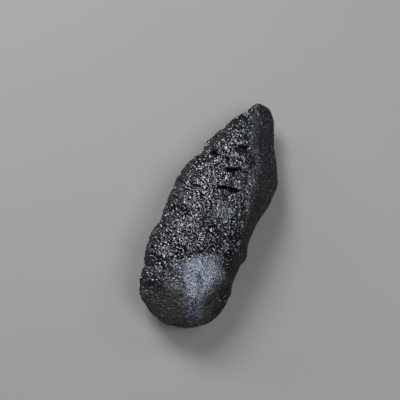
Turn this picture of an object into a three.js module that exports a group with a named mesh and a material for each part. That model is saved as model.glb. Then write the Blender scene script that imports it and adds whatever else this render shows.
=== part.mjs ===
// A splash-form tektite: one piece of black natural glass, drawn out to a blunt point at one end.
// Units are millimetres. +X runs from the thick butt to the tip and +Z is up. The stone lies on its
// back on a small flat spot at z = 0, and the origin is at the bottom centre of its box.
import * as THREE from "three";
import { ImprovedNoise } from "three/addons/math/ImprovedNoise.js";
import { mergeVertices } from "three/addons/utils/BufferGeometryUtils.js";

const BUTT_REACH = 42.4; // how far the rounded blank goes from x = 0 to the butt
const TIP_REACH = 46; // and to the point, which the tip's face then blunts
const SQUARENESS = 2.2; // superellipse exponent of a cross-section: 2 is an ellipse
const BELLY_WEAR = 0.6; // depth worn off the rounded belly, which leaves the flat spot

// Cross-sections of the blank from the butt to the tip. left (+Y) and right (-Y) are its widest points,
// edge is the height at which it is that wide, and top and belly are its highest and lowest points.
const SECTIONS = [
  { x: -39, left: 11.0, right: -9.4, edge: 11.0, top: 18.4, belly: 5.4 },
  { x: -34.5, left: 14.9, right: -13.9, edge: 10.8, top: 21.6, belly: 3.2 },
  { x: -28.5, left: 15.9, right: -14.8, edge: 10.6, top: 23.8, belly: 1.5 },
  { x: -18.5, left: 17.3, right: -14.7, edge: 10.5, top: 25.6, belly: 0.4 },
  { x: -8.5, left: 16.3, right: -15.6, edge: 10.6, top: 26.2, belly: 0 },
  { x: 1.5, left: 16.3, right: -16.0, edge: 10.8, top: 25.9, belly: 0.1 },
  { x: 11.5, left: 15.0, right: -17.5, edge: 11.0, top: 24.8, belly: 0.9 },
  { x: 21.5, left: 10.3, right: -16.5, edge: 11.3, top: 22.4, belly: 2.5 },
  { x: 30.5, left: 6.9, right: -12.6, edge: 11.7, top: 19.4, belly: 4.6 },
  { x: 37.5, left: 2.2, right: -11.2, edge: 12.0, top: 16.0, belly: 6.9 },
  { x: 41.0, left: 0.6, right: -11.0, edge: 12.2, top: 15.2, belly: 8.2 },
];

// The flatter faces, each a plane that the rounded blank is pared back to. azimuth is measured from +X
// towards +Y, elevation from level, reach from the stone's middle, and soft rounds the face's border.
// A face with a spot ends in a step that far from the spot.
const MIDDLE = new THREE.Vector3(0, 0, 12.5);
const BALD_SPOT = [-27.2, -4.2, 21.8];
const FACES = [
  { name: "upper flank", azimuth: -64, elevation: 40, reach: 17.2, soft: 0.35 },
  { name: "lower flank", azimuth: -89, elevation: 45, reach: 15.1, soft: 0.5 },
  { name: "bald face", azimuth: -125, elevation: 70, reach: 15.6, soft: 0.4, spot: BALD_SPOT, within: 8.8 },
  { name: "butt, left", azimuth: 165, elevation: 40, reach: 31.4, soft: 0.8 },
  { name: "butt, right", azimuth: -118, elevation: 27, reach: 22.5, soft: 0.5 },
  { name: "butt, end", azimuth: -154, elevation: -20, reach: 38.5, soft: 0.6 },
  { name: "tip", azimuth: -3, elevation: 16, reach: 41.8, soft: 1.0 },
];

// Hollows and swells of the skin. at and to are places on it, radius is how far one reaches to each
// side of the line between them, and depth is how far it sinks in, or stands out where it is negative.
const MARKS = [
  { name: "notch", at: [17.8, 10.8, 13.6], to: [14.6, 6.0, 21.5], radius: 2.4, depth: 1.1 },
  { name: "shoulder over the notch", at: [22.0, 9.6, 13.4], to: [23.6, 8.8, 14.0], radius: 3.0, depth: -1.6 },
  { name: "knuckle near the tip", at: [26.8, 7.6, 13.2], to: [27.3, 7.2, 13.4], radius: 2.0, depth: -0.5 },
  { name: "upper gouge", at: [20.2, -1.8, 21.8], to: [21.9, -5.6, 21.0], radius: 2.0, depth: 0.8 },
  { name: "middle gouge", at: [10.2, -0.2, 24.1], to: [11.9, -4.5, 23.7], radius: 2.0, depth: 0.8 },
  { name: "lower gouge", at: [2.8, -1.3, 24.9], to: [4.9, -6.2, 24.0], radius: 2.2, depth: 1.1 },
  { name: "ledge", at: [-10.0, 15.3, 14.0], to: [-9.0, 12.0, 20.0], radius: 3.0, depth: 1.1 },
  { name: "swell by the ledge", at: [-15.5, 15.8, 13.0], to: [-20.0, 16.4, 12.0], radius: 4.0, depth: -0.2 },
  { name: "waist", at: [-26.4, 15.6, 7.0], to: [-26.0, 13.0, 18.0], radius: 2.8, depth: 1.2 },
  { name: "right waist", at: [-21.0, -16.0, 10.4], to: [-20.5, -14.5, 16.0], radius: 4.0, depth: 0.9 },
  { name: "lobe of the ridge", at: [17.8, -9.6, 19.4], to: [18.4, -10.2, 19.0], radius: 4.2, depth: -0.45 },
  { name: "bald swell", at: [-26.6, -4.2, 21.8], to: [-27.4, -4.2, 21.8], radius: 7.5, depth: -0.5 },
  { name: "channel", at: [-10.6, -2.0, 25.4], to: [-13.0, -8.0, 23.4], radius: 2.2, depth: 0.9 },
  { name: "left hollow", at: [-8.0, 12.0, 21.0], to: [-9.0, 9.0, 23.0], radius: 3.0, depth: 0.9 },
  { name: "butt hollow", at: [-29.0, -12.5, 15.0], to: [-33.0, -11.0, 14.0], radius: 5.0, depth: 0.9 },
  { name: "lower flank hollow", at: [3.0, -15.5, 13.0], to: [-4.0, -14.5, 13.0], radius: 7.0, depth: 0.7 },
  { name: "belly hollow", at: [19.0, -6.0, 3.0], to: [25.0, -3.0, 4.0], radius: 5.0, depth: 0.9 },
  { name: "belly gouge", at: [-24.0, 6.0, 2.5], to: [-30.0, 3.0, 3.5], radius: 3.0, depth: 1.1 },
  { name: "back gouge", at: [4.0, 15.5, 8.0], to: [8.0, 13.5, 4.0], radius: 3.0, depth: 1.2 },
  { name: "swell by the tip", at: [34.0, 4.6, 13.4], to: [35.4, 3.8, 13.4], radius: 3.0, depth: -0.6 },
  { name: "outermost knuckle", at: [16.0, -17.2, 9.6], to: [16.8, -17.0, 9.6], radius: 4.0, depth: -0.5 },
  { name: "right knuckle", at: [-13.0, -15.4, 10.0], to: [-12.0, -15.4, 9.0], radius: 3.2, depth: -0.8 },
];

// The long uneven swells of the surface, and the dimples of the skin. A dimple is as deep as its radius
// times the steepness.
const SWELLS = { wavelength: 11, onSkin: 0.7, onFaces: 0.4 };
const DIMPLES = { count: 280, seed: 11, smallest: 1.8, largest: 3.0, steepness: 0.32 };

const STEP_WIDTH = 3.2; // how far the step round a face with a spot spreads
const FACE_BORDER = { from: 0.5, to: 1.5 }; // the cut, in units of soft, over which the pitted skin ends
const BELLY_CLEAR = { from: 1.0, to: 3.0 }; // heights over which the pitted skin starts above the belly
const BLOCK = { along: 58, across: 20, high: 16 }; // grid cells of the starting block
const SIDE_SHARE = 0.8; // the share of the half-length that the block's long sides turn into

// A smooth value of one field of SECTIONS at a place along the stone.
function sectionValue(field, x) {
  const last = SECTIONS.length - 1;
  if (x <= SECTIONS[0].x) return SECTIONS[0][field];
  if (x >= SECTIONS[last].x) return SECTIONS[last][field];
  const i = SECTIONS.findIndex((s) => s.x > x) - 1;
  const at = (k) => SECTIONS[THREE.MathUtils.clamp(k, 0, last)];
  const slope = (k) => (at(k + 1)[field] - at(k - 1)[field]) / (at(k + 1).x - at(k - 1).x);
  const span = at(i + 1).x - at(i).x;
  const t = (x - at(i).x) / span;
  return (
    at(i)[field] * (1 + 2 * t) * (1 - t) ** 2 +
    at(i + 1)[field] * t * t * (3 - 2 * t) +
    span * (slope(i) * t * (1 - t) ** 2 - slope(i + 1) * t * t * (1 - t))
  );
}

// How wide an oval as long as the blank is at x, as a share of its greatest width.
function ellipseShare(x) {
  const reach = x < 0 ? BUTT_REACH : TIP_REACH;
  return Math.sqrt(Math.max(0, 1 - (x / reach) ** 2));
}

// A half-width or half-height at x: smooth along the stone, and rounded off to nothing at both ends.
function halfSize(outer, inner, x) {
  const ends = [SECTIONS[0].x, SECTIONS[SECTIONS.length - 1].x];
  const held = THREE.MathUtils.clamp(x, ends[0], ends[1]);
  const size = Math.abs(sectionValue(outer, held) - inner(held));
  return (size / ellipseShare(held)) * ellipseShare(x);
}

// Turns a point of the block (each coordinate from -1 to 1) into its place on the blank.
function blankPoint(block) {
  const a = block.y * Math.sqrt(1 - block.z ** 2 / 2);
  const b = block.z * Math.sqrt(1 - block.y ** 2 / 2);
  const ring = Math.hypot(a, b) * Math.sqrt(1 - (SIDE_SHARE * block.x) ** 2);
  const reach = block.x < 0 ? -BUTT_REACH : TIP_REACH;
  const x = reach * Math.sqrt(Math.max(0, 1 - ring ** 2));
  const angle = Math.atan2(b, a);
  const middle = (at) => (sectionValue("left", at) + sectionValue("right", at)) / 2;
  const edge = (at) => sectionValue("edge", at);
  const across = Math.cos(angle);
  const upward = Math.sin(angle);
  const share = ring / Math.max(ellipseShare(x), 1e-6);
  const bulge = (v) => Math.sign(v) * Math.abs(v) ** (2 / SQUARENESS);
  const width = halfSize("left", middle, x) * share;
  const height = halfSize(upward > 0 ? "top" : "belly", edge, x) * share;
  return new THREE.Vector3(x, middle(x) + width * bulge(across), edge(x) + height * bulge(upward));
}

// Pares a point back to a face's plane, easing over the face's border, and gives the depth removed.
function pare(point, face) {
  const azimuth = THREE.MathUtils.degToRad(face.azimuth);
  const elevation = THREE.MathUtils.degToRad(face.elevation);
  const normal = new THREE.Vector3(
    Math.cos(azimuth) * Math.cos(elevation),
    Math.sin(azimuth) * Math.cos(elevation),
    Math.sin(elevation),
  );
  const proud = point.clone().sub(MIDDLE).dot(normal) - face.reach;
  const aside = face.spot ? point.distanceTo(new THREE.Vector3(...face.spot)) - face.within : -Infinity;
  const share = 1 - THREE.MathUtils.smoothstep(aside, -STEP_WIDTH / 2, STEP_WIDTH / 2);
  const removed = share * face.soft * Math.log1p(Math.exp(proud / face.soft));
  point.addScaledVector(normal, -removed);
  return removed;
}

// The depth of a round-bottomed hollow at a distance from its middle line.
function bowl(distance, radius, depth) {
  const share = Math.min(distance / radius, 1);
  return depth * (1 - share ** 2) ** 1.5;
}

function markDepth(point) {
  let depth = 0;
  for (const mark of MARKS) {
    const line = new THREE.Line3(new THREE.Vector3(...mark.at), new THREE.Vector3(...mark.to));
    const nearest = line.closestPointToPoint(point, true, new THREE.Vector3());
    depth += bowl(nearest.distanceTo(point), mark.radius, mark.depth);
  }
  return depth;
}

// Dimples lie on points of the skin that a seeded draw picks.
function drawDimples(places) {
  THREE.MathUtils.seededRandom(DIMPLES.seed);
  const draw = () => THREE.MathUtils.seededRandom();
  return Array.from({ length: DIMPLES.count }, () => ({
    at: places[Math.floor(draw() * places.length)],
    radius: THREE.MathUtils.lerp(DIMPLES.smallest, DIMPLES.largest, draw() ** 2),
  }));
}

function dimpleDepth(point, dimples) {
  let depth = 0;
  for (const dimple of dimples) {
    const distance = dimple.at.distanceTo(point);
    depth = Math.max(depth, bowl(distance, dimple.radius, DIMPLES.steepness * dimple.radius));
  }
  return depth;
}

function swellHeight(point, pitted, noise) {
  const at = point.clone().divideScalar(SWELLS.wavelength);
  return THREE.MathUtils.lerp(SWELLS.onFaces, SWELLS.onSkin, pitted) * noise.noise(at.x, at.y, at.z);
}

function buildStone() {
  const block = new THREE.BoxGeometry(2, 2, 2, BLOCK.along, BLOCK.across, BLOCK.high);
  block.deleteAttribute("normal");
  block.deleteAttribute("uv");
  const stone = mergeVertices(block, 1e-4);
  const place = stone.getAttribute("position");
  const skin = [];
  for (let i = 0; i < place.count; i++) {
    const point = blankPoint(new THREE.Vector3().fromBufferAttribute(place, i));
    let removed = 0;
    for (const face of FACES) removed = Math.max(removed, pare(point, face) / face.soft);
    place.setXYZ(i, point.x, point.y, point.z);
    const onFace = THREE.MathUtils.smoothstep(removed, FACE_BORDER.from, FACE_BORDER.to);
    const clear = THREE.MathUtils.smoothstep(point.z, BELLY_CLEAR.from, BELLY_CLEAR.to);
    skin.push({ point, pitted: (1 - onFace) * clear });
  }
  stone.computeVertexNormals();
  const normal = stone.getAttribute("normal");
  const noise = new ImprovedNoise();
  const dimples = drawDimples(skin.filter((s) => s.pitted > 0.5).map((s) => s.point));
  for (let i = 0; i < place.count; i++) {
    const { point, pitted } = skin[i];
    const out = new THREE.Vector3().fromBufferAttribute(normal, i);
    const sunk = pitted * dimpleDepth(point, dimples) + markDepth(point);
    const moved = point.clone().addScaledVector(out, swellHeight(point, pitted, noise) - sunk);
    place.setXYZ(i, moved.x, moved.y, Math.max(moved.z - BELLY_WEAR, 0));
  }
  stone.computeBoundingBox();
  const box = stone.boundingBox;
  stone.translate(-(box.min.x + box.max.x) / 2, -(box.min.y + box.max.y) / 2, -box.min.z);
  stone.computeVertexNormals();
  return stone;
}

const glass = new THREE.MeshStandardMaterial({ color: 0x17181a, roughness: 0.3, metalness: 0 });
const tektite = new THREE.Mesh(buildStone(), glass);
tektite.name = "tektite";

const part = new THREE.Group();
part.add(tektite);
export default part;
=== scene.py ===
"""A splash-form tektite: one piece of pitted black natural glass, lying on its back on a pale floor.

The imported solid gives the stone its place, size, flat faces, ledges and gouges. This script cuts that
surface fine, carves the pitted skin into it and gives it the glass that it is made of.
"""

import logging
import math
from dataclasses import dataclass, field
from enum import Enum
from typing import Dict, List, Protocol, Tuple, Union

import bmesh
import bpy
import numpy as np
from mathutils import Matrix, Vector, noise
from mathutils.kdtree import KDTree


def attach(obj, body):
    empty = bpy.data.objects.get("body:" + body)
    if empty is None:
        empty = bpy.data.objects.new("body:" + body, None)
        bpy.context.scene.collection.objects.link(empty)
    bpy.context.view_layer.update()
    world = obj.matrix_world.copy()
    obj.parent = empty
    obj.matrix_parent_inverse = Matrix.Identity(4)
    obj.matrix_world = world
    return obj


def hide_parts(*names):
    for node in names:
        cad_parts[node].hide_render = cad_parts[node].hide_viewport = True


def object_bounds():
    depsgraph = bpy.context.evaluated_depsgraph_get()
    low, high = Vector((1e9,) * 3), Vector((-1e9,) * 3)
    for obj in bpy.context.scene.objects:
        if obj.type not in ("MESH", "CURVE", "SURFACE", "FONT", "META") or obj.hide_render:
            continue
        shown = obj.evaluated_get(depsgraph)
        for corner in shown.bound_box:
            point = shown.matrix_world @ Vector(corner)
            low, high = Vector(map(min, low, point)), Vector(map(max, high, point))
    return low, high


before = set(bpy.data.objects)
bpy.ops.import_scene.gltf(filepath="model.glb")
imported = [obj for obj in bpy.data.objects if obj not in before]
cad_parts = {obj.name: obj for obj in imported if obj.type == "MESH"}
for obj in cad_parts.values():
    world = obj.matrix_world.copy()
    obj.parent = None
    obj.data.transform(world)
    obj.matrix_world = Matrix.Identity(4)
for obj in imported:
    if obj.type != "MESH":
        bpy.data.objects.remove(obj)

Triple = Tuple[float, float, float]
Line = Tuple[Triple, ...]
Value = Union[float, Tuple[float, ...], bpy.types.NodeSocket]
MM = 0.001  # one millimetre in metres; the stone's own sizes are written in millimetres
CAD_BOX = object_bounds()
CREST = "crest"  # the name under which the mesh keeps how fully a place lies on a crest between pits
NOISE_GAIN = 1.8  # brings the noise to values from about -1 to 1

# Middle lines on the stone, in millimetres: the ridge between the pitted front and the right flank, the
# column that runs from the bald spot down the butt, pale partly from painted sheen, and the bald spot's
# upper border.
RIDGE_LINE: Line = ((36, -3, 15.5), (28.9, -5, 17.7), (21.5, -6.6, 19.9), (18, -10, 18.9), (10, -10.2, 21))
COLUMN_LINE: Line = ((-33.0, -4.8, 20.2), (-36.4, -6.2, 16.8))
BALD_BORDER: Line = ((-21.7, 3.0, 24.4), (-18.1, -3.0, 24.0), (-15.8, -8.8, 21.6))

logging.basicConfig(level=logging.INFO, format="%(message)s")
log = logging.getLogger("tektite")


class Zone(Enum):
    """The worn kinds of surface on the stone; the bald one also carries a painted sheen. Each one's share is
    stored on the mesh under its value.
    """

    FLANK = "flank"
    BALD_AND_SHEEN = "bald"
    BUTT = "butt"


def smooth_step(value: np.ndarray, low: float, high: float) -> np.ndarray:
    """Eases from 0 at low to 1 at high.

    Args:
        value: The values to ease.
        low: Where the result is 0.
        high: Where the result is 1.

    Returns:
        The eased share for each value.
    """
    t = np.clip((value - low) / (high - low), 0.0, 1.0)
    return t * t * (3.0 - 2.0 * t)


def direction(azimuth: float, elevation: float) -> np.ndarray:
    """Gives the unit vector at an azimuth from +X towards +Y and an elevation from level, in degrees.

    Args:
        azimuth: Angle in the level plane.
        elevation: Angle above it.

    Returns:
        The unit vector.
    """
    a, e = math.radians(azimuth), math.radians(elevation)
    return np.array([math.cos(a) * math.cos(e), math.sin(a) * math.cos(e), math.sin(e)])


def opaque(colour: Triple) -> Tuple[float, ...]:
    """Adds a full alpha to a colour."""
    return (*colour, 1.0)


def distance(places: np.ndarray, centre: Triple) -> np.ndarray:
    """Gives each place's distance from a centre."""
    return np.linalg.norm(places - np.array(centre), axis=1)


def distance_to_line(places: np.ndarray, line: Line) -> np.ndarray:
    """Gives each place's distance from a line through some places, or from a single one.

    Args:
        places: Points, one per row.
        line: The line's corners.

    Returns:
        The distances.
    """
    nearest = distance(places, line[0])
    for start, end in zip(line, line[1:]):
        a = np.array(start)
        along = np.array(end) - a
        share = np.clip((places - a) @ along / float(along @ along), 0.0, 1.0)
        nearest = np.minimum(nearest, np.linalg.norm(places - a - share[:, None] * along, axis=1))
    return nearest


def uneven(places: np.ndarray, wavelength: float, offset: float = 0.0) -> np.ndarray:
    """Gives a smooth random value at each place.

    Args:
        places: Points, one per row.
        wavelength: The size of the value's swells.
        offset: A shift that gives another pattern.

    Returns:
        Values from about -1 to 1.
    """
    scaled = (places / wavelength + offset).tolist()
    return np.array([noise.noise(place) for place in scaled]) * NOISE_GAIN


@dataclass(frozen=True)
class Swell:
    """A smooth random rise and fall over the surface."""

    height: float
    wavelength: float
    pattern: float = 0.0  # another number gives another pattern

    def at(self, places: np.ndarray) -> np.ndarray:
        """Gives the swell's height at each place."""
        return self.height * uneven(places, self.wavelength, self.pattern)


@dataclass(frozen=True)
class Course:
    """A value that changes along the stone's length."""

    stations: Tuple[float, ...]  # places on the X axis
    values: Tuple[float, ...]  # the value at each of them

    def at(self, places: np.ndarray) -> np.ndarray:
        """Gives the value at each place."""
        return np.interp(places[:, 0], self.stations, self.values)


@dataclass(frozen=True)
class FlatFace:
    """A flatter face of the stone, given by its plane."""

    zone: Zone
    azimuth: float
    elevation: float
    reach: float  # distance of the plane from the stone's middle
    border: float  # how far under the plane the face's share fades out
    spot: Triple = (0.0, 0.0, 0.0)
    within: float = math.inf  # how far from the spot the face goes
    fade: float = 1.2  # how far it takes to fade out there
    border_wander: float = 0.4  # how far the border under the plane wanders
    spot_wander: float = 0.9  # and the one round the spot

    def share(self, places: np.ndarray, middle: Triple, ragged: np.ndarray) -> np.ndarray:
        """Tells how fully each place lies on this face.

        Args:
            places: Points of the surface, one per row.
            middle: The stone's middle, from which the reach is measured.
            ragged: A random value at each place that makes the face's border uneven.

        Returns:
            1 on the face, 0 off it, and shares between at its border.
        """
        proud = (places - np.array(middle)) @ direction(self.azimuth, self.elevation) - self.reach
        wander = self.border_wander
        share = smooth_step(proud + wander * ragged, -wander - self.border, -wander)
        if math.isfinite(self.within):
            aside = distance(places, self.spot) + self.spot_wander * ragged
            share = share * (1.0 - smooth_step(aside, self.within - self.fade, self.within))
        return share


@dataclass(frozen=True)
class Ridge:
    """The ridge along the stone that parts the pitted front from the smooth right flank."""

    across: Course  # its Y along the stone
    wander: float = 0.9  # how far its line wanders
    border: Tuple[float, float] = (-0.4, 1.6)  # where the flank begins and is full, measured across
    heights: Tuple[float, float] = (2.0, 6.0)  # the flank fades out between these, towards the belly

    def share(self, places: np.ndarray, ragged: np.ndarray) -> np.ndarray:
        """Tells how fully each place lies on the flank.

        Args:
            places: Points of the surface, one per row.
            ragged: A random value at each place that makes the border uneven.

        Returns:
            1 on the flank, 0 off it, and shares between at the ridge.
        """
        beyond = self.across.at(places) - places[:, 1] + self.wander * ragged
        return smooth_step(beyond, *self.border) * smooth_step(places[:, 2], *self.heights)


@dataclass(frozen=True)
class Spot:
    """A part of the surface, round or along a line, where a zone's share is greater or smaller."""

    zone: Zone
    radius: float
    change: float  # what it adds to the zone's share at its middle
    line: Line  # its middle line, or its middle alone
    core: float = 0.4  # the share of the radius within which the change is full
    wander: float = 0.8  # how far its border wanders

    def apply(self, share: np.ndarray, places: np.ndarray, ragged: np.ndarray) -> np.ndarray:
        """Changes the zone's share about the spot.

        Args:
            share: The zone's share at each place.
            places: Points of the surface, one per row.
            ragged: A random value at each place that makes the border uneven.

        Returns:
            The new share.
        """
        away = distance_to_line(places, self.line) + self.wander * ragged
        inside = 1.0 - smooth_step(away, self.core * self.radius, self.radius)
        return np.clip(share + self.change * inside, 0.0, 1.0)


class Mark(Protocol):
    """Anything that sinks the surface at a known place."""

    def sink(self, places: np.ndarray) -> np.ndarray:
        """Gives how deep the mark is at each place, below zero where it stands out."""


@dataclass(frozen=True)
class Slit:
    """A sharp gouge across the skin: a long wall on the tip's side and a short one on the butt's."""

    start: Triple
    end: Triple
    width: float
    depth: float
    lean: float = 0.65  # the long wall's share of the width
    reach: float = 2.0  # how far from its line it is felt, in widths
    wander: float = 0.3  # how far its walls wander
    wander_size: float = 1.5  # the length of their swells

    def sink(self, places: np.ndarray) -> np.ndarray:
        """Gives how deep the slit is at each place.

        Args:
            places: Points of the surface, one per row.

        Returns:
            The depths.
        """
        along = np.array(self.end) - np.array(self.start)
        length = float(np.linalg.norm(along))
        along = along / length
        towards_tip = np.cross(np.array([0.0, 0.0, 1.0]), along)
        towards_tip = towards_tip * np.sign(towards_tip[0]) / np.linalg.norm(towards_tip)
        offset = places - np.array(self.start)
        forward = offset @ along
        aside = offset @ towards_tip
        near = np.linalg.norm(offset - np.outer(forward, along), axis=1) < self.reach * self.width
        aside = aside + Swell(self.wander, self.wander_size, forward.mean()).at(places)
        long_wall = self.lean * self.width
        short_wall = (1.0 - self.lean) * self.width
        wall = np.where(aside > 0, aside / long_wall, -aside / short_wall)
        ends = np.clip(1.0 - (2.0 * forward / length - 1.0) ** 2, 0.0, None)
        return self.depth * np.where(near, np.clip(1.0 - wall, 0.0, None) * ends, 0.0)


@dataclass(frozen=True)
class Groove:
    """A soft crease along a line of places."""

    line: Line
    half_width: float
    depth: float

    def sink(self, places: np.ndarray) -> np.ndarray:
        """Gives how deep the crease is at each place.

        Args:
            places: Points of the surface, one per row.

        Returns:
            The depths.
        """
        return self.depth * np.exp(-((distance_to_line(places, self.line) / self.half_width) ** 2))


@dataclass(frozen=True)
class RingPit:
    """Round grooves one within the other, as a burst bubble leaves."""

    centre: Triple
    radius: float  # of the outermost groove
    step: float  # from one groove to the next
    depth: float

    def sink(self, places: np.ndarray) -> np.ndarray:
        """Gives how deep the grooves are at each place.

        Args:
            places: Points of the surface, one per row.

        Returns:
            The depths.
        """
        away = distance(places, self.centre)
        waves = 0.5 + 0.5 * np.cos(2.0 * math.pi * (away - self.radius) / self.step)
        return self.depth * waves * (1.0 - smooth_step(away, self.radius, self.radius + 0.5 * self.step))


@dataclass(frozen=True)
class PitFamily:
    """Pits of one range of sizes, strewn over the skin."""

    tries: int  # how many pits are tried; those too near an earlier one are left out
    smallest: float  # half-widths
    largest: float
    steepness: float  # depth as a share of the half-width, on average
    stretch: float  # length of the longest ones over their width
    spacing: float  # how near to a pit's middle the next one may be, in half-widths
    ragged: float  # how far their outlines wander
    skin_depth: float  # how fully the pits are sunk in the pitted skin
    worn_depth: float  # and in the worn zones
    seed: int


@dataclass
class Surface:
    """The stone's surface while it is worked, as arrays in millimetres."""

    places: np.ndarray
    normals: np.ndarray
    edges: np.ndarray  # the two ends of every edge of its mesh
    zones: Dict[Zone, np.ndarray]

    def evened(self, values: np.ndarray, rounds: int) -> np.ndarray:
        """Evens values out between neighbouring places.

        Args:
            values: One value for each place.
            rounds: How many times each takes the mean of its neighbours.

        Returns:
            The evened values.
        """
        first, second = self.edges.T
        count = len(values)
        neighbours = np.bincount(self.edges.ravel(), minlength=count)
        for _ in range(rounds):
            total = np.bincount(first, weights=values[second], minlength=count)
            total += np.bincount(second, weights=values[first], minlength=count)
            values = total / neighbours
        return values

    def unfold(self, rounds: int, least: float) -> None:
        """Turns the normals of small folds the way that the surface about them faces.

        Args:
            rounds: How far about a place the normals are evened out to find that way.
            least: The agreement of the two, as a cosine, under which a normal is turned.
        """
        about = np.stack([self.evened(axis, rounds) for axis in self.normals.T], axis=1)
        about /= np.linalg.norm(about, axis=1)[:, None]
        folded = (self.normals * about).sum(axis=1) < least
        self.normals[folded] = about[folded]
        log.info("folds turned: %d", int(folded.sum()))

    def skin(self) -> np.ndarray:
        """Gives the share of the pitted skin at each place."""
        worn = np.max(np.stack(list(self.zones.values())), axis=0)
        return 1.0 - worn


@dataclass
class PitCarver:
    """Strews pits over a surface and works out how deep they sink it."""

    surface: Surface
    wander_size: float = 1.1  # the length over which the pits' outlines wander
    steepness_range: Tuple[float, float] = (0.6, 0.8)  # the flattest pit's steepness, and what luck adds
    reach: float = 1.3  # how far from its middle a pit is looked for, in half-lengths
    tree: KDTree = field(init=False)
    wander: np.ndarray = field(init=False)

    def __post_init__(self) -> None:
        """Sorts the surface's places for quick searches and draws how the pits' outlines wander."""
        self.tree = KDTree(len(self.surface.places))
        for index, place in enumerate(self.surface.places.tolist()):
            self.tree.insert(place, index)
        self.tree.balance()
        patterns = (0.0, 10.0, 20.0)  # one for each axis
        wander = [uneven(self.surface.places, self.wander_size, pattern) for pattern in patterns]
        self.wander = np.stack(wander, axis=1)

    def sink(self, family: PitFamily, likelihood: np.ndarray, growth: np.ndarray) -> np.ndarray:
        """Works out one family of pits.

        Args:
            family: The pits' number and sizes.
            likelihood: How likely a pit is to lie at each place.
            growth: How much larger than usual the pits are at each place.

        Returns:
            The depth at each place, where the deepest pit counts, so that crests between pits stay sharp.
        """
        draw = np.random.default_rng(family.seed)
        centres = draw.choice(len(likelihood), size=family.tries, p=likelihood / likelihood.sum())
        widths = family.smallest + (family.largest - family.smallest) * draw.random(family.tries) ** 2
        widths = widths * growth[centres]
        lengths = widths * (1.0 + (family.stretch - 1.0) * draw.random(family.tries))
        turns = draw.random(family.tries) * math.pi
        least, luck = self.steepness_range
        steepness = (family.steepness * (least + luck * draw.random(family.tries))).tolist()
        places = self.surface.places + family.ragged * self.wander
        depths = np.zeros(len(likelihood))
        taken = np.zeros(len(likelihood), dtype=bool)
        made = 0
        ovals = zip(centres.tolist(), widths.tolist(), lengths.tolist(), turns.tolist(), steepness)
        for centre, width, length, turn, steep in ovals:
            if taken[centre]:
                continue
            near, share = self._oval(places, centre, width, length, turn)
            depth = steep * width * np.clip(1.0 - share, 0.0, None)
            depths[near] = np.maximum(depths[near], depth)
            taken[near[share < family.spacing**2]] = True
            made += 1
        log.info("pits %.1f to %.1f mm wide: %d", 2 * family.smallest, 2 * family.largest, made)
        return depths

    def _oval(
        self, places: np.ndarray, centre: int, width: float, length: float, turn: float
    ) -> Tuple[np.ndarray, np.ndarray]:
        """Finds the places about one oval pit.

        Args:
            places: The surface's places, shifted so that the pit's outline wanders.
            centre: The index of the pit's middle place.
            width: Half its width.
            length: Half its length.
            turn: The angle of its length within the surface.

        Returns:
            The places' indices, and their squared distance in units of the pit's half-sizes.
        """
        normal = Vector(self.surface.normals[centre])
        side = normal.orthogonal().normalized()
        ahead = normal.cross(side)
        along = np.array(side) * math.cos(turn) + np.array(ahead) * math.sin(turn)
        found = self.tree.find_range(self.surface.places[centre], self.reach * length)
        near = np.array([index for _, index, _ in found])
        offset = places[near] - places[centre]
        forward = offset @ along
        aside = (offset**2).sum(axis=1) - forward**2
        return near, (forward / length) ** 2 + aside / width**2


@dataclass(frozen=True)
class Grain:
    """A fine uneven height of the glass, too fine for the mesh. Sizes in millimetres."""

    size: float
    height: float
    everywhere: float  # its share on the pitted skin
    zones: Dict[Zone, float]  # its share in each zone


@dataclass(frozen=True)
class PaintedSheen:
    """Painted sheen on the bald spot: pale bluish specks in its base colour that stand in for its soft
    reflection of the light above.
    """

    colour: Triple
    size: float  # millimetres
    above: float  # the height of the grain from which a speck begins
    sharpness: float  # how quickly it gets pale from there


@dataclass(frozen=True)
class ZoneFinish:
    """The glass's look in one zone."""

    colour: Triple
    roughness: float


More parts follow.
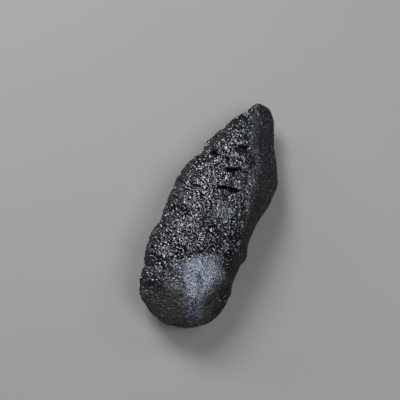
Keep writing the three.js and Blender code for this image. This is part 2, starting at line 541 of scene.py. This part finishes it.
class GlassMaterial:
    """Puts the stone's material together node by node."""

    def __init__(self, name: str) -> None:
        """Starts an empty principled material.

        Args:
            name: The material's name.
        """
        self.material = bpy.data.materials.new(name)
        self.material.use_nodes = True
        self.nodes = self.material.node_tree.nodes
        self.links = self.material.node_tree.links
        self.shader = self.nodes["Principled BSDF"]
        self.place = self.nodes.new("ShaderNodeTexCoord").outputs["Object"]
        self.shares = {zone: self.read(zone.value) for zone in Zone}

    def read(self, name: str) -> bpy.types.NodeSocket:
        """Reads a value that the mesh keeps under a name."""
        read = self.nodes.new("ShaderNodeAttribute")
        read.attribute_name = name
        return read.outputs["Fac"]

    def math(self, operation: str, first: Value, second: Value) -> bpy.types.NodeSocket:
        """Adds a math node.

        Args:
            operation: Its operation.
            first: A number or a socket.
            second: A number or a socket.

        Returns:
            The node's result.
        """
        node = self.nodes.new("ShaderNodeMath")
        node.operation = operation
        for socket, value in zip(node.inputs, (first, second)):
            if isinstance(value, (int, float)):
                socket.default_value = value
            else:
                self.links.new(value, socket)
        return node.outputs["Value"]

    def blend(self, kind: str, base: Value, zones: Dict[Zone, Value]) -> bpy.types.NodeSocket:
        """Mixes a value that differs from zone to zone.

        Args:
            kind: "RGBA" for a colour or "FLOAT" for a number.
            base: The value on the pitted skin.
            zones: The value in each zone.

        Returns:
            The mixed value.
        """
        result = base
        for zone, value in zones.items():
            result = self.mix(kind, self.shares[zone], result, value)
        return result

    def mix(
        self, kind: str, share: bpy.types.NodeSocket, first: Value, second: Value
    ) -> bpy.types.NodeSocket:
        """Mixes two values.

        Args:
            kind: "RGBA" for colours or "FLOAT" for numbers.
            share: The second value's share.
            first: A value or a socket.
            second: A value or a socket.

        Returns:
            The mixed value.
        """
        mix = self.nodes.new("ShaderNodeMix")
        mix.data_type = kind
        self.links.new(share, mix.inputs["Factor"])
        for name, value in (("A", first), ("B", second)):
            socket = next(one for one in mix.inputs if one.name == name and one.enabled)
            if isinstance(value, bpy.types.NodeSocket):
                self.links.new(value, socket)
            else:
                socket.default_value = value
        return next(out for out in mix.outputs if out.enabled)

    def unevenness(self, size: float) -> bpy.types.NodeSocket:
        """Adds a fine grain of one size.

        Args:
            size: The grain's size in millimetres.

        Returns:
            The grain's height, from 0 to 1.
        """
        group = self.nodes.new("ShaderNodeGroup")
        group.node_tree = fine_grain_group()
        group.inputs["Size"].default_value = size * MM
        self.links.new(self.place, group.inputs["Place"])
        return group.outputs["Height"]

    def specks(self, painted_sheen: PaintedSheen) -> bpy.types.NodeSocket:
        """Adds a mask of fine specks, where the painted sheen goes.

        Args:
            painted_sheen: The size and sharpness of the painted sheen's specks.

        Returns:
            A share near 1 in the specks and near 0 between them.
        """
        over = self.math("SUBTRACT", self.unevenness(painted_sheen.size), painted_sheen.above)
        return self.math("MULTIPLY", over, painted_sheen.sharpness)

    def grain_height(self, grain: Grain) -> bpy.types.NodeSocket:
        """Adds one grain.

        Args:
            grain: Its size, height and shares.

        Returns:
            The height in metres.
        """
        height = self.unevenness(grain.size)
        share = self.blend("FLOAT", grain.everywhere, grain.zones)
        return self.math("MULTIPLY", self.math("MULTIPLY", height, share), grain.height * MM)

    def bump(self, heights: List[bpy.types.NodeSocket]) -> None:
        """Bends the shading normal by the sum of some heights.

        Args:
            heights: Sockets that give heights in metres.
        """
        total = heights[0]
        for height in heights[1:]:
            total = self.math("ADD", total, height)
        bump = self.nodes.new("ShaderNodeBump")
        bump.inputs["Strength"].default_value = 1.0
        bump.inputs["Distance"].default_value = 1.0
        self.links.new(total, bump.inputs["Height"])
        self.links.new(bump.outputs["Normal"], self.shader.inputs["Normal"])


def fine_grain_group() -> bpy.types.NodeTree:
    """Makes, or finds, the shader node group for a fine uneven height.

    Returns:
        The group: Place and Size in, Height out.
    """
    name = "fine grain"
    if name in bpy.data.node_groups:
        return bpy.data.node_groups[name]
    group = bpy.data.node_groups.new(name, "ShaderNodeTree")
    group.interface.new_socket("Place", in_out="INPUT", socket_type="NodeSocketVector")
    group.interface.new_socket("Size", in_out="INPUT", socket_type="NodeSocketFloat")
    group.interface.new_socket("Height", in_out="OUTPUT", socket_type="NodeSocketFloat")
    nodes, links = group.nodes, group.links
    enter, leave = nodes.new("NodeGroupInput"), nodes.new("NodeGroupOutput")
    scale = nodes.new("ShaderNodeMath")
    scale.operation = "DIVIDE"
    scale.inputs[0].default_value = 1.0
    links.new(enter.outputs["Size"], scale.inputs[1])
    grain = nodes.new("ShaderNodeTexNoise")
    grain.inputs["Detail"].default_value = 1.0
    grain.inputs["Roughness"].default_value = 0.5
    links.new(enter.outputs["Place"], grain.inputs["Vector"])
    links.new(scale.outputs["Value"], grain.inputs["Scale"])
    links.new(grain.outputs["Fac"], leave.inputs["Height"])
    return group


@dataclass(frozen=True)
class GlassFinish:
    """The opaque black glass of the stone: satin on its worn faces, brighter in its pits, with a painted
    sheen on its bald spot and a faint painted warm reflection on its butt.
    """

    name: str = "tektite glass"
    ior: float = 1.48
    pits: ZoneFinish = ZoneFinish((0.0014, 0.0014, 0.0016), 0.1)
    crest_roughness: float = 0.17  # on the crests between the pits
    flank: ZoneFinish = ZoneFinish((0.001, 0.001, 0.001), 0.25)
    # Painted reflection: the butt's faint warm tint stands in for warm surroundings mirrored there.
    butt: ZoneFinish = ZoneFinish((0.011, 0.009, 0.008), 0.36)
    # Painted sheen: the bald spot's colour, lighter and bluer than the pits', and the pale bluish specks
    # below stand in for its soft reflection of the light above.
    bald: ZoneFinish = ZoneFinish((0.008, 0.010, 0.013), 0.16)
    painted_sheen: PaintedSheen = PaintedSheen((0.118, 0.134, 0.158), 0.5, 0.43, 6.5)
    grains: Tuple[Grain, ...] = (
        Grain(0.75, 0.3, 0.1, {Zone.FLANK: 0.7, Zone.BUTT: 2.6, Zone.BALD_AND_SHEEN: 0.2}),
        Grain(0.4, 0.14, 0.1, {Zone.FLANK: 1.6, Zone.BUTT: 4.0, Zone.BALD_AND_SHEEN: 1.3}),
    )

    def build(self) -> bpy.types.Material:
        """Makes the material.

        Returns:
            The material, which reads Object coordinates and the zone shares stored on the mesh.
        """
        glass = GlassMaterial(self.name)
        glass.shader.inputs["IOR"].default_value = self.ior
        # The bald spot's base colour gets the painted sheen: pale bluish specks mixed into it.
        specks = glass.specks(self.painted_sheen)
        painted_sheen_colour = glass.mix("RGBA", specks, opaque(self.bald.colour), opaque(self.painted_sheen.colour))
        colours = {
            Zone.FLANK: opaque(self.flank.colour),
            Zone.BUTT: opaque(self.butt.colour),
            Zone.BALD_AND_SHEEN: painted_sheen_colour,
        }
        colour = glass.blend("RGBA", opaque(self.pits.colour), colours)
        glass.links.new(colour, glass.shader.inputs["Base Color"])
        roughness = {
            Zone.FLANK: self.flank.roughness,
            Zone.BUTT: self.butt.roughness,
            Zone.BALD_AND_SHEEN: self.bald.roughness,
        }
        skin = glass.mix("FLOAT", glass.read(CREST), self.pits.roughness, self.crest_roughness)
        glass.links.new(glass.blend("FLOAT", skin, roughness), glass.shader.inputs["Roughness"])
        glass.bump([glass.grain_height(grain) for grain in self.grains])
        return glass.material


@dataclass
class Tektite:
    """The stone: its fine surface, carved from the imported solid, and its finish. Sizes in millimetres."""

    node: str = "tektite"
    body: str = "root"
    slot: str = "tektite_glass"
    middle: Triple = (-0.79, 0.13, 11.9)
    weld: float = 0.001  # corners of the solid's mesh that are nearer than this are one
    rounds: Tuple[Tuple[int, int], ...] = ((1, 4), (2, 2))  # cuts in every edge, and smoothings after them
    smoothing: float = 0.5  # how far each of those moves a corner towards its neighbours' middle
    most_triangles: int = 196000
    fold_rounds: int = 30  # how far about a small fold its surroundings are looked at
    fold_cosine: float = 0.3  # and how far its normals may turn from theirs, as a cosine
    ragged: Swell = Swell(1.0, 3.0)  # makes the zones' borders uneven
    ridge: Ridge = Ridge(
        Course(
            (-31, -22, -15, 0, 10, 17, 19.5, 23, 30, 38),
            (-11, -12.4, -11.6, -10, -10, -10.5, -8, -6.2, -4.8, -2.4),
        )
    )
    faces: Tuple[FlatFace, ...] = (
        FlatFace(Zone.BALD_AND_SHEEN, -125, 70, 15.6, 1.6, (-25.8, -5.6, 21.6), 8.6, 2.4),
        FlatFace(Zone.BUTT, 165, 40, 31.4, 1.8),
        FlatFace(Zone.BUTT, -118, 27, 22.5, 2.0),
    )
    spots: Tuple[Spot, ...] = (
        # Spots that raise the bald share also spread its painted sheen: to the bluish spot, the pale column
        # and the band along the ridge.
        Spot(Zone.BALD_AND_SHEEN, 4.4, 0.27, ((-3.6, -4.7, 24.0),)),
        Spot(Zone.BUTT, 6.0, -0.75, ((-28.5, 10.5, 19.5), (-33.0, 9.5, 18.0))),
        Spot(Zone.BALD_AND_SHEEN, 5.0, 0.4, ((-28.0, 2.5, 22.6), (-30.0, 0.0, 22.0))),
        Spot(Zone.BUTT, 5.4, -0.95, COLUMN_LINE),
        Spot(Zone.BALD_AND_SHEEN, 5.0, 0.75, COLUMN_LINE),
        Spot(Zone.BALD_AND_SHEEN, 2.8, -1.0, BALD_BORDER),
        Spot(Zone.FLANK, 3.2, -0.55, RIDGE_LINE),
        Spot(Zone.BALD_AND_SHEEN, 3.2, 0.2, RIDGE_LINE),
    )
    marks: Tuple[Mark, ...] = (
        Slit((19.7, -0.2, 21.4), (21.5, -5.6, 20.4), 1.5, 2.2),
        Slit((9.6, 1.0, 23.7), (11.7, -5.4, 23.0), 1.6, 2.2),
        Slit((2.9, 1.0, 24.1), (4.4, -7.2, 22.9), 1.1, 2.3),
        Groove(((1.5, -1.2, 24.3), (3.4, -6.1, 23.4)), 0.45, -0.35),
        Slit((17.6, 9.8, 16.8), (14.6, 3.8, 21.8), 2.0, 2.4),
        Groove(((-7.0, 1.0, 24.4), (-11.1, -2.3, 24.0), (-12.9, -6.8, 23.3)), 0.9, 0.8),
        Groove(((-27.1, -3.8, 22.2), (-30.3, -5.5, 20.9), (-33.9, -5.9, 19.5)), 0.6, 0.4),
        RingPit((-21.7, -4.7, 22.9), 1.5, 0.75, 0.35),
        RingPit((-18.3, -8.3, 22.0), 2.9, 0.9, 0.3),
        RingPit((-12.0, -2.1, 24.1), 1.5, 0.9, 0.22),
    )
    pits: Tuple[PitFamily, ...] = (
        PitFamily(
            tries=90000, smallest=0.45, largest=0.85, steepness=0.85, stretch=1.2, spacing=1.0,
            ragged=0.2, skin_depth=1.0, worn_depth=0.0, seed=5,
        ),
        PitFamily(
            tries=60000, smallest=0.28, largest=0.45, steepness=0.8, stretch=1.5, spacing=1.25,
            ragged=0.1, skin_depth=0.35, worn_depth=1.0, seed=23,
        ),
    )
    growth: Swell = Swell(0.25, 4.0, 7.0)  # how the pits' size changes from place to place
    bald_growth: float = -0.35  # and how it differs on the bald spot
    least_likely: float = 0.02  # how likely a pit is where the zones want none
    crest: float = 0.15  # how far the crests between the pits stand over the solid's skin
    lumps: Swell = Swell(0.12, 3.6, 3.0)  # the skin's small lumps
    side_depth: float = 0.7  # how much deeper the pits are on the stone's steep sides than on its worn top
    side_range: Tuple[float, float] = (0.3, 0.85)  # a steep side's and a worn top's upward normal
    skin_depth: Course = Course((-24, -10, 4, 40), (1.05, 1.05, 1.0, 1.0))  # the pits' depth along the stone
    flank_pits: Course = Course(  # the fine pits' depth on the flank
        (-30, -10, 2, 14, 24, 34), (0.9, 0.85, 0.75, 0.75, 0.95, 0.9)
    )
    bald_pits: float = 0.45  # and on the bald spot
    butt_pits: float = 0.5  # and on the butt
    belly_range: Tuple[float, float] = (0.2, 2.0)  # heights at which the carving begins and is full
    crest_reach: int = 6  # how far about a place its depth is compared with, to tell crests from pits
    crest_range: Tuple[float, float] = (-0.3, 0.7)  # full crest to none, in spreads of that difference
    sharp_from: float = 35.0  # degrees between two triangles from which their edge stays sharp
    finish: GlassFinish = GlassFinish()

    def build(self) -> bpy.types.Object:
        """Builds the stone and puts it in the CAD node's place.

        Returns:
            The finished object.
        """
        mesh = self._fine_mesh()
        surface = self._surface_of(mesh)
        surface.unfold(self.fold_rounds, self.fold_cosine)
        self._carve(mesh, surface)
        self._store_zones(mesh, surface)
        stone = bpy.data.objects.new("tektite_stone", mesh)
        bpy.context.scene.collection.objects.link(stone)
        self._thin_out(stone)
        stone.data.materials.append(self.finish.build())
        stone.data.shade_smooth()
        stone.data.set_sharp_from_angle(angle=math.radians(self.sharp_from))
        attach(stone, self.body)
        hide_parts(self.node)
        log.info("%s: %d triangles", stone.name, len(stone.data.polygons))
        return stone

    def _fine_mesh(self) -> bpy.types.Mesh:
        """Copies the solid's surface and cuts it fine.

        Returns:
            The mesh, without the solid's facets.
        """
        work = bmesh.new()
        work.from_mesh(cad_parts[self.node].data)
        bmesh.ops.remove_doubles(work, verts=work.verts, dist=self.weld * MM)
        for cuts, smoothings in self.rounds:
            bmesh.ops.subdivide_edges(work, edges=work.edges, cuts=cuts, use_grid_fill=True)
            for _ in range(smoothings):
                bmesh.ops.smooth_vert(
                    work,
                    verts=work.verts,
                    factor=self.smoothing,
                    use_axis_x=True,
                    use_axis_y=True,
                    use_axis_z=True,
                )
        bmesh.ops.triangulate(work, faces=work.faces)
        for face in work.faces:
            face.material_index = 0
        mesh = bpy.data.meshes.new("tektite_stone")
        work.to_mesh(mesh)
        work.free()
        mesh.materials.clear()
        return mesh

    def _surface_of(self, mesh: bpy.types.Mesh) -> Surface:
        """Reads a mesh's places, normals and zones.

        Args:
            mesh: The fine mesh, in metres.

        Returns:
            The surface, in millimetres.
        """
        places = np.zeros(len(mesh.vertices) * 3)
        mesh.vertices.foreach_get("co", places)
        places = places.reshape(-1, 3) / MM
        normals = np.zeros(len(mesh.vertices) * 3)
        mesh.vertex_normals.foreach_get("vector", normals)
        edges = np.zeros(len(mesh.edges) * 2, dtype=np.int32)
        mesh.edges.foreach_get("vertices", edges)
        ragged = self.ragged.at(places)
        zones = {zone: np.zeros(len(places)) for zone in Zone}
        for face in self.faces:
            share = face.share(places, self.middle, ragged)
            zones[face.zone] = np.maximum(zones[face.zone], share)
        zones[Zone.FLANK] = self.ridge.share(places, ragged)
        for spot in self.spots:
            zones[spot.zone] = spot.apply(zones[spot.zone], places, ragged)
        zones[Zone.BALD_AND_SHEEN] *= 1.0 - zones[Zone.FLANK]
        zones[Zone.BUTT] *= 1.0 - np.maximum(zones[Zone.FLANK], zones[Zone.BALD_AND_SHEEN])
        return Surface(places, normals.reshape(-1, 3), edges.reshape(-1, 2), zones)

    def _carve(self, mesh: bpy.types.Mesh, surface: Surface) -> None:
        """Sinks the pits and marks into the mesh.

        Args:
            mesh: The fine mesh, changed in place.
            surface: Its surface as arrays.
        """
        places, zones, skin = surface.places, surface.zones, surface.skin()
        clear = smooth_step(places[:, 2], *self.belly_range)
        worn = zones[Zone.FLANK] * self.flank_pits.at(places)
        worn += zones[Zone.BALD_AND_SHEEN] * self.bald_pits + zones[Zone.BUTT] * self.butt_pits
        growth = (1.0 + self.growth.at(places)) * (1.0 + self.bald_growth * zones[Zone.BALD_AND_SHEEN])
        steep = 1.0 + self.side_depth * (1.0 - smooth_step(surface.normals[:, 2], *self.side_range))
        steep *= self.skin_depth.at(places)
        depth = skin * (self.lumps.at(places) - self.crest)
        carver = PitCarver(surface)
        for family in self.pits:
            share = family.skin_depth * skin + family.worn_depth * worn
            likelihood = np.clip(share, self.least_likely, 1.0)
            depth += carver.sink(family, likelihood, growth) * share * steep
        for mark in self.marks:
            depth += mark.sink(places)
        sunk = depth - surface.evened(depth, self.crest_reach)
        crests = 1.0 - smooth_step(sunk / float(np.std(sunk)), *self.crest_range)
        self._store(mesh, CREST, crests)
        low, high = (np.array(corner) / MM for corner in CAD_BOX)
        places = np.clip(places - surface.normals * (depth * clear)[:, None], low, high)
        mesh.vertices.foreach_set("co", (places * MM).ravel())
        mesh.update()

    @staticmethod
    def _store_zones(mesh: bpy.types.Mesh, surface: Surface) -> None:
        """Stores each zone's share on the mesh for the material.

        Args:
            mesh: The fine mesh.
            surface: Its surface, with the shares.
        """
        for zone, share in surface.zones.items():
            Tektite._store(mesh, zone.value, share)

    @staticmethod
    def _store(mesh: bpy.types.Mesh, name: str, values: np.ndarray) -> None:
        """Stores one value for each vertex on the mesh under a name."""
        stored = mesh.attributes.new(name, "FLOAT", "POINT")
        stored.data.foreach_set("value", values.astype(np.float32))

    def _thin_out(self, stone: bpy.types.Object) -> None:
        """Takes triangles away where the surface is plain, and keeps them at the pits.

        Args:
            stone: The stone, whose mesh is replaced.
        """
        count = len(stone.data.polygons)
        log.info("carved mesh: %d triangles", count)
        thin = stone.modifiers.new("thin out", "DECIMATE")
        thin.ratio = min(1.0, self.most_triangles / count)
        depsgraph = bpy.context.evaluated_depsgraph_get()
        thinned = bpy.data.meshes.new_from_object(stone.evaluated_get(depsgraph), depsgraph=depsgraph)
        stone.modifiers.clear()
        stone.data = thinned


@dataclass(frozen=True)
class Softbox:
    """A square soft light that faces the stone."""

    name: str
    azimuth: float  # its direction from the stone, from +X towards +Y
    elevation: float
    away: float  # metres
    size: float  # the square's side in metres
    radiance: float
    colour: Triple

    def build(self, aim: Triple) -> None:
        """Hangs the light.

        Args:
            aim: The place that it faces.
        """
        data = bpy.data.lights.new(self.name, "AREA")
        data.shape = "SQUARE"
        data.size = self.size
        data.energy = self.radiance * math.pi * self.size**2
        data.color = self.colour
        lamp = bpy.data.objects.new(self.name, data)
        place = Vector(direction(self.azimuth, self.elevation)) * self.away
        lamp.location = Vector(aim) + place
        lamp.rotation_euler = place.to_track_quat("Z", "Y").to_euler()
        bpy.context.scene.collection.objects.link(lamp)
        log.info("light %s", self.name)


@dataclass
class Studio:
    """The floor, lights and camera round the stone. Sizes in metres."""

    softboxes: Tuple[Softbox, ...] = (
        Softbox("key", 52.0, 50.0, 0.60, 0.27, 27.0, (0.86, 0.87, 1.0)),
        Softbox("low left", 74.0, 22.0, 0.60, 0.20, 9.0, (0.85, 0.86, 1.0)),
        Softbox("window", -102.0, 62.0, 0.60, 0.26, 14.0, (0.86, 0.91, 1.0)),
        Softbox("right", -42.0, 42.0, 0.60, 0.12, 17.0, (0.90, 0.93, 1.0)),
        Softbox("foot", 165.0, 25.0, 0.60, 0.12, 12.0, (1.0, 0.96, 0.92)),
    )
    floor_colour: Triple = (0.149, 0.151, 0.130)
    floor_roughness: float = 0.8
    floor_size: float = 2.0  # half the floor's side
    world_colour: Triple = (0.95, 0.97, 1.0)
    world_strength: float = 0.1
    aim: Triple = (0.0, 0.0, 0.0125)  # the place that the lights and the camera face
    azimuth: float = -70.6  # the camera's turn about the stone, from the -Y side towards +X
    elevation: float = 70.0
    distance: float = 0.321
    lens: float = 85.0  # the lens and the sensor in millimetres
    sensor: float = 36.0
    picture: float = 400.0  # the picture's side in pixels
    aim_pixel: Tuple[float, float] = (215.0, 207.5)  # where the aim lies in it, from its upper left corner

    def build(self) -> None:
        """Makes the floor, the lights and the camera."""
        self._floor()
        self._world()
        self._camera()
        for softbox in self.softboxes:
            softbox.build(self.aim)

    def _floor(self) -> None:
        """Lays a plain pale floor."""
        work = bmesh.new()
        bmesh.ops.create_grid(work, x_segments=1, y_segments=1, size=self.floor_size)
        mesh = bpy.data.meshes.new("floor")
        work.to_mesh(mesh)
        work.free()
        floor = bpy.data.objects.new("floor", mesh)
        bpy.context.scene.collection.objects.link(floor)
        material = bpy.data.materials.new("pale floor")
        material.use_nodes = True
        shader = material.node_tree.nodes["Principled BSDF"]
        shader.inputs["Base Color"].default_value = opaque(self.floor_colour)
        shader.inputs["Roughness"].default_value = self.floor_roughness
        mesh.materials.append(material)

    def _world(self) -> None:
        """Sets the soft light from all round."""
        world = bpy.data.worlds.new("studio")
        world.use_nodes = True
        background = world.node_tree.nodes["Background"]
        background.inputs["Color"].default_value = opaque(self.world_colour)
        background.inputs["Strength"].default_value = self.world_strength
        bpy.context.scene.world = world

    def _camera(self) -> None:
        """Sets the camera above the stone, looking down on it."""
        a, e = math.radians(self.azimuth), math.radians(self.elevation)
        back = Vector((math.sin(a) * math.cos(e), -math.cos(a) * math.cos(e), math.sin(e)))
        right = Vector((math.cos(a), math.sin(a), 0.0))
        up = back.cross(right)
        step = self.distance * self.sensor / (self.lens * self.picture)
        aside = (self.aim_pixel[0] - self.picture / 2) * step
        down = (self.aim_pixel[1] - self.picture / 2) * step
        data = bpy.data.cameras.new("camera")
        data.lens = self.lens
        data.sensor_width = self.sensor
        camera = bpy.data.objects.new("camera", data)
        camera.location = Vector(self.aim) + back * self.distance - right * aside + up * down
        camera.rotation_euler = back.to_track_quat("Z", "Y").to_euler()
        bpy.context.scene.collection.objects.link(camera)
        bpy.context.scene.camera = camera


def main() -> None:
    """Builds the studio and the stone."""
    bpy.context.scene.view_settings.view_transform = "Standard"
    Studio().build()
    Tektite().build()


if __name__ == "__main__":
    main()
